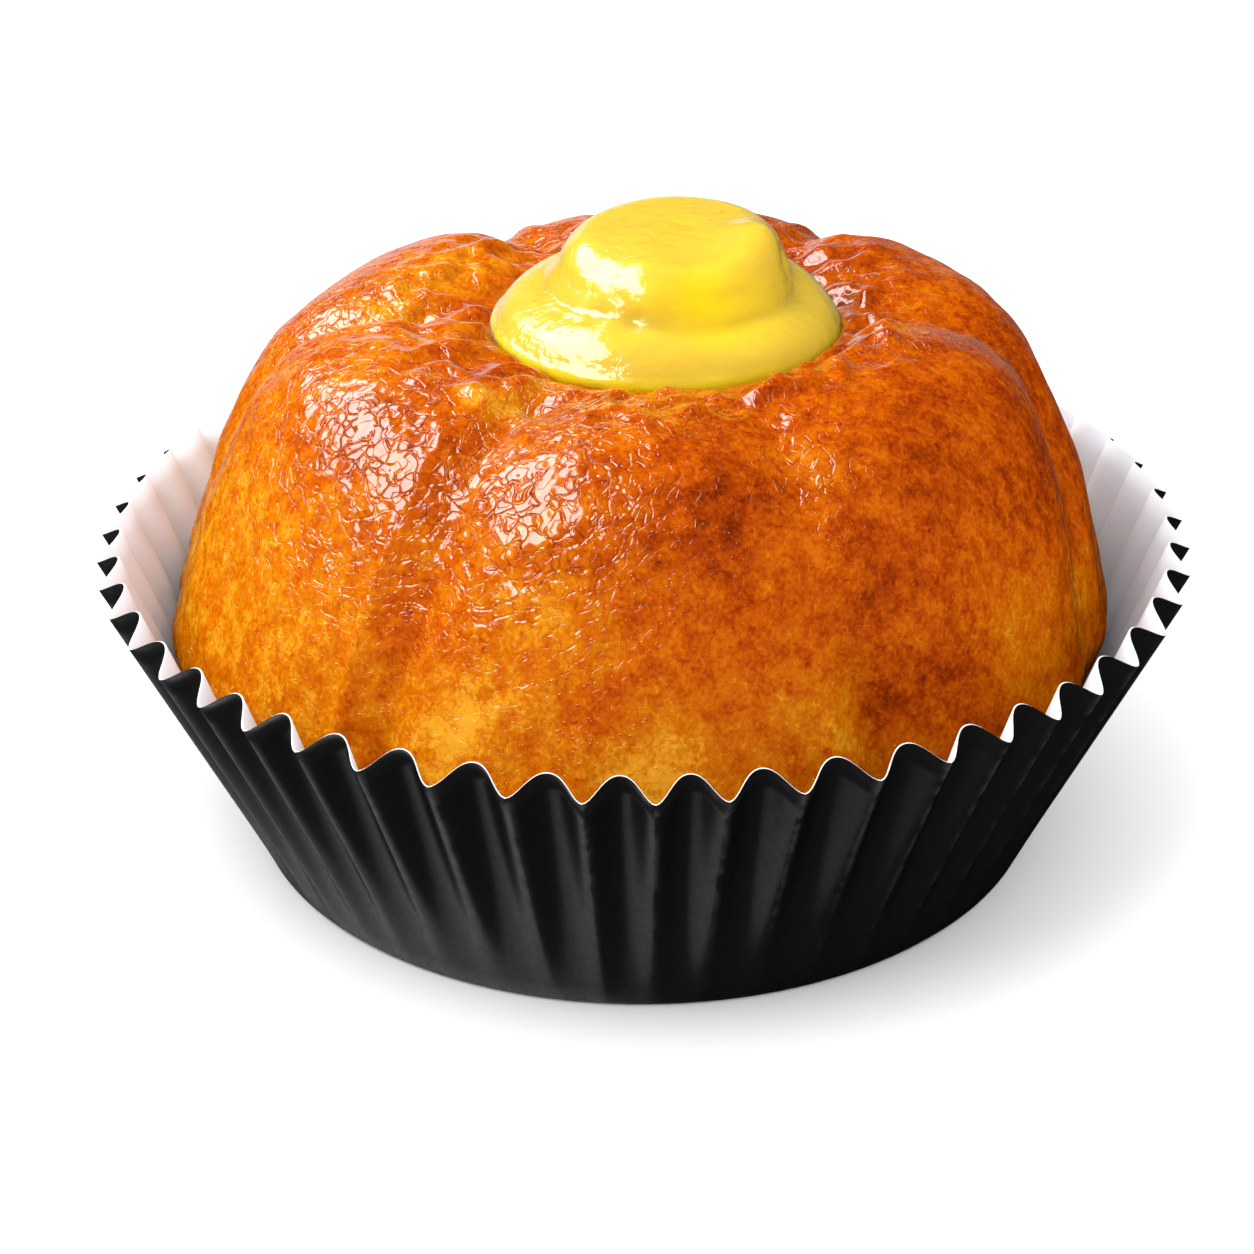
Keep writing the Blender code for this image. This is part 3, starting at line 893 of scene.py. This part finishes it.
def cake_relief(points, settings):
    """How far the skin stands out of the plain turned form."""
    azimuth, radius = rounds_of(points)
    height = np.where(radius > CROWN_RADIUS, points[:, 2], CROWN_HEIGHT)
    on_skin = ease(radius, WELL_RADIUS, CROWN_RADIUS) * ease(points[:, 2], FOOT_HEIGHT, FLANK_HEIGHT)
    rough = UNEVENNESS * noise_of(points, UNEVENNESS_SIZE)
    round_well = ease(radius, *RIM_KNOBS_BEGIN) * (1.0 - ease(radius, *RIM_KNOBS_END))
    on_top = points[:, 2] > LEAN_PIVOT
    knobs = RIM_KNOBS * np.maximum(noise_of(points, RIM_KNOB_SIZE), RIM_PITS) * round_well * on_top
    fine = DIMPLE_DEPTH * noise_of(points, DIMPLE_SIZE)
    fine += settings.wrinkle_depth * wrinkles(points, settings.wrinkle_size)
    groove = line_height(GROOVES, azimuth, radius, height, GROOVE_FALL_OFF)
    rib = line_height(RIBS, azimuth, radius, height, RIB_FALL_OFF)
    return on_skin * (spots(CAKE_SWELLINGS, points) * MM + rough + fine + rib - groove) + knobs


def cake_shift(points):
    """How far to +X a point goes: the flank leans, and the well above it is off the middle."""
    height = points[:, 2]
    lean = LEAN * (height - LEAN_PIVOT) * ease(height, FOOT_HEIGHT, FLANK_HEIGHT)
    outside_well = ease(np.hypot(points[:, 0], points[:, 1]), WELL_RADIUS, CROWN_RADIUS)
    return np.where(height < LEAN_PIVOT, lean, WELL_X + (lean - WELL_X) * outside_well)


def browning_and_painted_light_at(points):
    """How brown the crust is, from 0 for crumb to 1 for the darkest crust; it also holds painted shade,
    towards +X and in grooves and the well, and painted highlights as paler spots.
    """
    risen = ease(points[:, 2], *BROWNING_RISE)
    total = BROWNING_LOW + (BROWNING_HIGH - BROWNING_LOW) * risen
    total += BROWNING_AND_SHADE_TO_RIGHT * np.sin(np.radians(rounds_of(points)[0]))
    return total + spots(BAKE_AND_PAINTED_LIGHT_PATCHES, points)


def wrinkled_at(points):
    """How wrinkled the glaze is, from 0 to 1."""
    return np.minimum(WRINKLED_ALL_OVER + spots(WRINKLED_PATCHES, points), 1.0)


def crust_spacing(start, end):
    """Rings of points lie close together where the crust shows."""
    shown = min(start.z, end.z) > SHOWN_FROM and min(start.x, end.x) > SHOWN_OUTSIDE
    return CRUST_SPACING if shown else HIDDEN_SPACING


def make_crust(settings):
    mesh = turned(smooth_line(CAKE_OUTLINE, crust_spacing), CAKE_SIDES)
    points = points_of(mesh)
    normals = np.array([vert.normal for vert in mesh.verts])
    set_attribute(mesh, "browning_and_painted_light", browning_and_painted_light_at(points))
    set_attribute(mesh, "wrinkled", wrinkled_at(points))
    moved = points + normals * cake_relief(points, settings)[:, None]
    moved[:, 0] += cake_shift(moved)
    azimuth, radius = rounds_of(moved)
    set_points(mesh, from_rounds(azimuth, np.minimum(radius, room_in_case(moved[:, 2])), moved[:, 2]))
    piece = add_piece("cake_crust", mesh, [crust_material(settings)], "cake")
    piece.visible_glossy = False
    return piece


# ---------------------------------------------------------------- curd

def curd_relief(points, settings):
    """How far the curd stands out of the plain turned form."""
    azimuth, radius = rounds_of(points)
    height = points[:, 2]
    ripple = settings.ripple * noise_of(points * RIPPLE_STRETCH, RIPPLE_SIZE) * ease(height, *RIPPLE_RISE)
    lips = np.zeros(len(points))
    for level, width, rise, start, end in CURD_LIPS:
        shown = ease(azimuth, start, start + LIP_FADE) * ease(azimuth, end, end - LIP_FADE)
        lips += rise * MM * shown * np.exp(-(((height - level * MM) / (width * MM)) ** 2))
    ridges = line_height(CURD_RIDGES, azimuth, radius, height, RIB_FALL_OFF)
    return ripple + ridges + lips + spots(CURD_SWELLINGS, points) * MM


def curd_shift(points):
    """The way that each point of the plain turned dollop goes."""
    height = points[:, 2]
    on_dome = ease(height, DOME_FROM, DOME_TO)
    near_fold = ease(height, *FOLD_BELOW) * (1.0 - ease(height, *FOLD_ABOVE))
    rise = along(FOLD_CLIMB, rounds_of(points)[0]) * MM * near_fold
    rise += (DOME_TILT * points[:, 0] + DOME_NOD * points[:, 1]) * on_dome
    return np.column_stack((WELL_X + DOME_SHIFT * on_dome, np.zeros(len(points)), rise))


def make_curd(settings):
    mesh = turned(smooth_line(CURD_OUTLINE, lambda start, end: CURD_SPACING), CURD_SIDES)
    points = points_of(mesh)
    brim = BRIM_SHARE * (1.0 - ease(points[:, 2], *BRIM_FADE))
    # The pale colour goes everywhere but the deep spots and the brim: the skirt, and painted sheen on the
    # dome.
    set_attribute(mesh, "thinness_and_sheen", 1.0 - np.minimum(spots(CURD_DEPTHS, points) + brim, 1.0))
    normals = np.array([vert.normal for vert in mesh.verts])
    set_points(mesh, points + normals * curd_relief(points, settings)[:, None] + curd_shift(points))
    return add_piece("lemon_curd_dollop", mesh, [curd_material(settings)], "lemon_curd")


# ---------------------------------------------------------------- stage

def make_floor(settings):
    mesh = bmesh.new()
    bmesh.ops.create_grid(mesh, x_segments=1, y_segments=1, size=FLOOR_HALF)
    data = bpy.data.meshes.new("floor")
    mesh.to_mesh(data)
    mesh.free()
    made, _, shader = new_material("pale_floor")
    shader.inputs["Base Color"].default_value = (*settings.floor, 1.0)
    shader.inputs["Roughness"].default_value = 0.8
    shader.inputs["Specular IOR Level"].default_value = 0.0
    data.materials.append(made)
    floor = bpy.data.objects.new("floor", data)
    floor.location.z = -FLOOR_DROP
    floor.visible_glossy = False
    bpy.context.scene.collection.objects.link(floor)
    return floor


def add_softbox(name, direction, distance, size, brightness):
    """An area light that looks at the cake from that direction, and is that bright in gloss."""
    light = bpy.data.lights.new(name, "AREA")
    light.shape = "RECTANGLE"
    light.size, light.size_y = size
    light.energy = brightness * math.pi * light.size * light.size_y
    softbox = bpy.data.objects.new(name, light)
    away = Vector(direction).normalized()
    softbox.location = Vector(LIGHTS_AIM) + away * distance
    softbox.rotation_mode = "QUATERNION"
    softbox.rotation_quaternion = away.to_track_quat("Z", "Y")
    bpy.context.scene.collection.objects.link(softbox)
    return softbox


def link_light(lamp, piece, state):
    """Lights only the piece with a lamp, or all but the piece: the state is INCLUDE or EXCLUDE."""
    lamp.light_linking.receiver_collection = linked_collection(piece, state)


def linked_collection(piece, state):
    linked = bpy.data.collections.new(piece.name)
    linked.objects.link(piece)
    linked.collection_objects[0].light_linking.link_state = state
    return linked


def light_room(fill, backdrop, room):
    """An even fill. In its place, gloss shows a dark room with a low backdrop behind to the left."""
    world = bpy.data.worlds.new("studio")
    world.use_nodes = True
    tree = world.node_tree
    way = add_node(tree, "ShaderNodeTexCoord", {}, "Generated")
    parts = add_node(tree, "ShaderNodeSeparateXYZ", {0: way}).node
    behind = spread(tree, parts.outputs["Y"], *BACKDROP_BEHIND)
    low = spread(tree, parts.outputs["Z"], *BACKDROP_LOW)
    to_left = spread(tree, parts.outputs["X"], *BACKDROP_LEFT, BACKDROP_ON_RIGHT)
    share = calc(tree, "MULTIPLY", calc(tree, "MULTIPLY", behind, low), to_left)
    seen = spread(tree, share, 0.0, 1.0, room, backdrop)
    gloss = add_node(tree, "ShaderNodeLightPath", {}, "Is Glossy Ray")
    brightness = calc(tree, "MULTIPLY_ADD", gloss, calc(tree, "SUBTRACT", seen, fill), fill)
    background = tree.nodes["Background"]
    background.inputs["Color"].default_value = (1.0, 1.0, 1.0, 1.0)
    put(tree, background.inputs["Strength"], brightness)
    bpy.context.scene.world = world


def add_camera():
    data = bpy.data.cameras.new("camera")
    data.lens = CAMERA_LENS
    data.sensor_width = CAMERA_SENSOR
    data.clip_start = 10.0 * MM
    camera = bpy.data.objects.new("camera", data)
    camera.location = CAMERA_PLACE
    camera.rotation_mode = "QUATERNION"
    look = (Vector(CAMERA_AIM) - Vector(CAMERA_PLACE)).to_track_quat("-Z", "Y").to_matrix()
    roll = Matrix.Rotation(math.radians(CAMERA_ROLL), 3, "Z")
    camera.rotation_quaternion = (look @ roll).to_quaternion()
    bpy.context.scene.collection.objects.link(camera)
    bpy.context.scene.camera = camera


# ---------------------------------------------------------------- operators and panel

class LEMON_CAKE_OT_stage(bpy.types.Operator):
    """Adds the pale floor, the soft light and the camera"""

    bl_idname = "lemon_cake.stage"
    bl_label = "Add stage"

    def execute(self, context):
        settings = context.scene.lemon_cake_stage
        floor = make_floor(settings)
        light_room(settings.fill, settings.backdrop, settings.room)
        softbox = add_softbox("softbox", *SOFTBOX, settings.softbox)
        link_light(softbox, floor, "EXCLUDE")
        floor_light = add_softbox("floor_light", *FLOOR_SOFTBOX, settings.floor_light)
        link_light(floor_light, floor, "INCLUDE")
        add_camera()
        context.scene.view_settings.view_transform = "Standard"
        return {"FINISHED"}


class LEMON_CAKE_OT_case(bpy.types.Operator):
    """Adds the pleated paper case and the light from below on it"""

    bl_idname = "lemon_cake.case"
    bl_label = "Add paper case"

    def execute(self, context):
        piece = make_case(context.scene.lemon_cake_case)
        bounce = add_softbox("bounce", *BOUNCE, context.scene.lemon_cake_stage.bounce)
        link_light(bounce, piece, "INCLUDE")
        bounce.light_linking.blocker_collection = linked_collection(piece, "INCLUDE")
        return {"FINISHED"}


class LEMON_CAKE_OT_crust(bpy.types.Operator):
    """Adds the cake with its glazed crust"""

    bl_idname = "lemon_cake.crust"
    bl_label = "Add cake"

    def execute(self, context):
        make_crust(context.scene.lemon_cake_crust)
        return {"FINISHED"}


class LEMON_CAKE_OT_curd(bpy.types.Operator):
    """Adds the spoonful of lemon curd"""

    bl_idname = "lemon_cake.curd"
    bl_label = "Add lemon curd"

    def execute(self, context):
        make_curd(context.scene.lemon_cake_curd)
        return {"FINISHED"}


class LEMON_CAKE_PT_panel(bpy.types.Panel):
    """Lists the pieces and the stage"""

    bl_idname = "LEMON_CAKE_PT_panel"
    bl_label = "Lemon Cake"
    bl_space_type = "VIEW_3D"
    bl_region_type = "UI"
    bl_category = "Lemon Cake"

    def draw(self, context):
        for operator, settings in (
            ("lemon_cake.stage", context.scene.lemon_cake_stage),
            ("lemon_cake.case", context.scene.lemon_cake_case),
            ("lemon_cake.crust", context.scene.lemon_cake_crust),
            ("lemon_cake.curd", context.scene.lemon_cake_curd),
        ):
            box = self.layout.box()
            for name in settings.bl_rna.properties.keys():
                if name not in {"rna_type", "name"}:
                    box.prop(settings, name)
            box.operator(operator)


SETTINGS = {
    "lemon_cake_case": CaseSettings,
    "lemon_cake_crust": CrustSettings,
    "lemon_cake_curd": CurdSettings,
    "lemon_cake_stage": StageSettings,
}
CLASSES = [
    *SETTINGS.values(),
    LEMON_CAKE_OT_stage,
    LEMON_CAKE_OT_case,
    LEMON_CAKE_OT_crust,
    LEMON_CAKE_OT_curd,
    LEMON_CAKE_PT_panel,
]


def register():
    for one in CLASSES:
        bpy.utils.register_class(one)
    for name, group in SETTINGS.items():
        setattr(bpy.types.Scene, name, PointerProperty(type=group))


def unregister():
    for name in SETTINGS:
        delattr(bpy.types.Scene, name)
    for one in reversed(CLASSES):
        bpy.utils.unregister_class(one)


def main():
    register()
    bpy.ops.lemon_cake.stage()
    bpy.ops.lemon_cake.case()
    bpy.ops.lemon_cake.crust()
    bpy.ops.lemon_cake.curd()


if __name__ == "__main__":
    main()
